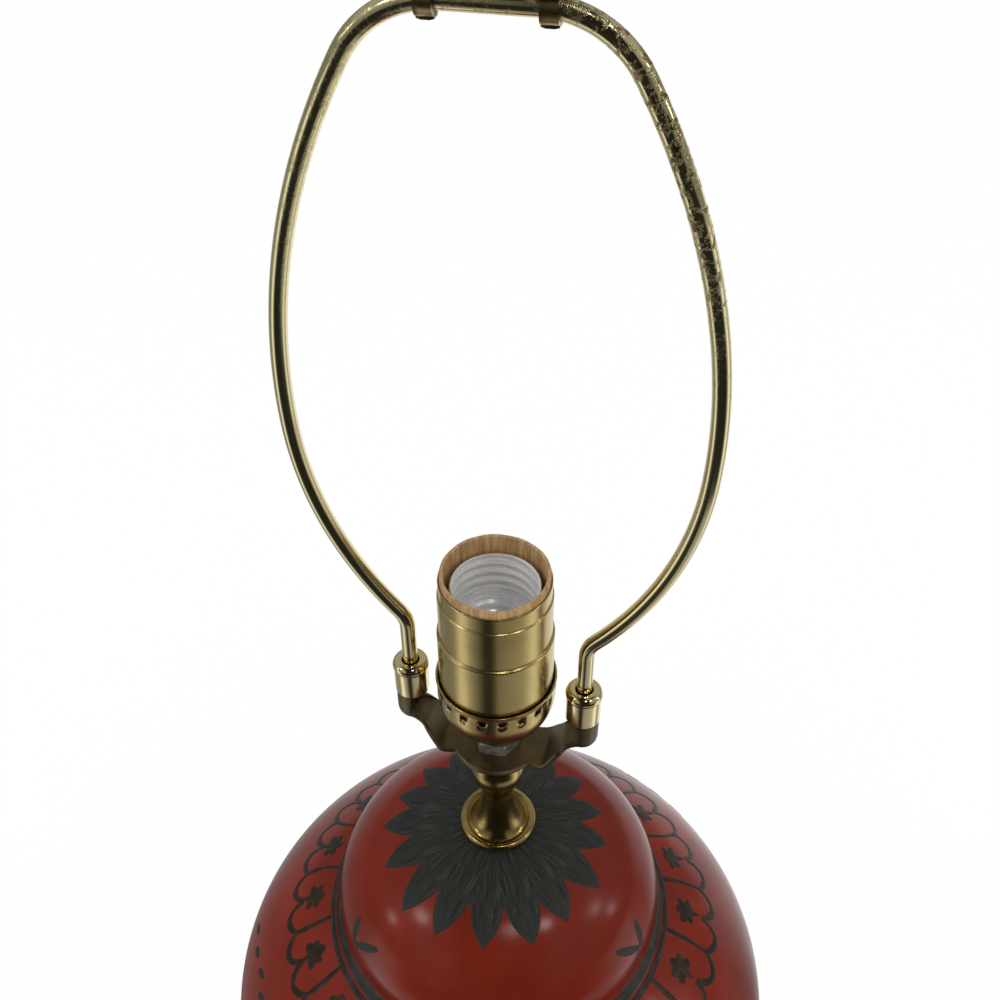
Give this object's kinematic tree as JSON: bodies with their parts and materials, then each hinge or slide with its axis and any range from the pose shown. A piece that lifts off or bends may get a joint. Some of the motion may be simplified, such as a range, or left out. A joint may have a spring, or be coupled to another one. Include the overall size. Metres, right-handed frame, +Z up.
{
  "type": "table lamp",
  "caption": "Ginger jar table lamp: lidded ceramic jar on a turned base, brass neck, screw lampholder with turn switch, and a lift-off wire harp for a shade.",
  "frame": {"origin": "centre of the foot pads' undersides, on the floor, under the lamp rod's axis", "axes": "+Z up along the lamp rod; the harp lies in the XZ plane; the front is at -Y and the switch knob and the cord inlet are at +Y"},
  "size_m": [0.2154, 0.2154, 0.6113],
  "materials": {
    "black_rubber": "matte",
    "black_plastic": "matte",
    "brown_knob": "gloss",
    "dark_wood": "satin lacquer",
    "zinc_steel": "zinc plated",
    "red_glaze": "glossy glaze with black painting",
    "aged_brass": "brushed and aged",
    "bright_brass": "polished",
    "dark_bronze": "dark bronze lacquer",
    "brown_card": "fibre card",
    "screw_aluminium": "satin"
  },
  "bodies": {
    "lamp": {"foot_pads": "black_rubber", "wood_base": "dark_wood", "cord_bushing": "black_plastic", "base_washer": "zinc_steel", "base_lock_washer": "zinc_steel", "base_nut": "zinc_steel", "lamp_rod": "zinc_steel", "jar_body": "red_glaze", "jar_lid": "red_glaze", "neck_gasket": "black_rubber", "trumpet_neck": "aged_brass", "harp_saddle": "dark_bronze", "saddle_locknut": "aged_brass", "socket_cap": "aged_brass", "cap_set_screw": "zinc_steel", "socket_shell": "aged_brass", "insulating_liner": "brown_card", "socket_block_low": "black_plastic", "socket_block_top": "black_plastic", "block_rivets": "bright_brass", "screw_shell": "screw_aluminium", "centre_contact": "bright_brass", "terminal_screws": "bright_brass"},
    "harp": {"harp_wire": "bright_brass", "harp_bracket": "bright_brass", "finial_stud": "bright_brass"},
    "left_sleeve": {"left_ferrule": "bright_brass"},
    "right_sleeve": {"right_ferrule": "bright_brass"},
    "switch": {"switch_shaft": "bright_brass", "switch_knob": "brown_knob"}
  },
  "joints": [
    {"name": "harp_lift", "type": "slide", "parent": "lamp", "child": "harp", "axis": [0, 0, 1], "range_m": [0, 0.025]},
    {"name": "left_sleeve_slide", "type": "slide", "parent": "harp", "child": "left_sleeve", "axis": [0, 0, 1], "range_m": [0, 0.009]},
    {"name": "right_sleeve_slide", "type": "slide", "parent": "harp", "child": "right_sleeve", "axis": [0, 0, 1], "range_m": [0, 0.009]},
    {"name": "switch_turn", "type": "hinge", "parent": "lamp", "child": "switch", "pos_m": [0, 0, 0.39936], "axis": [0, 1, 0], "continuous": true}
  ]
}
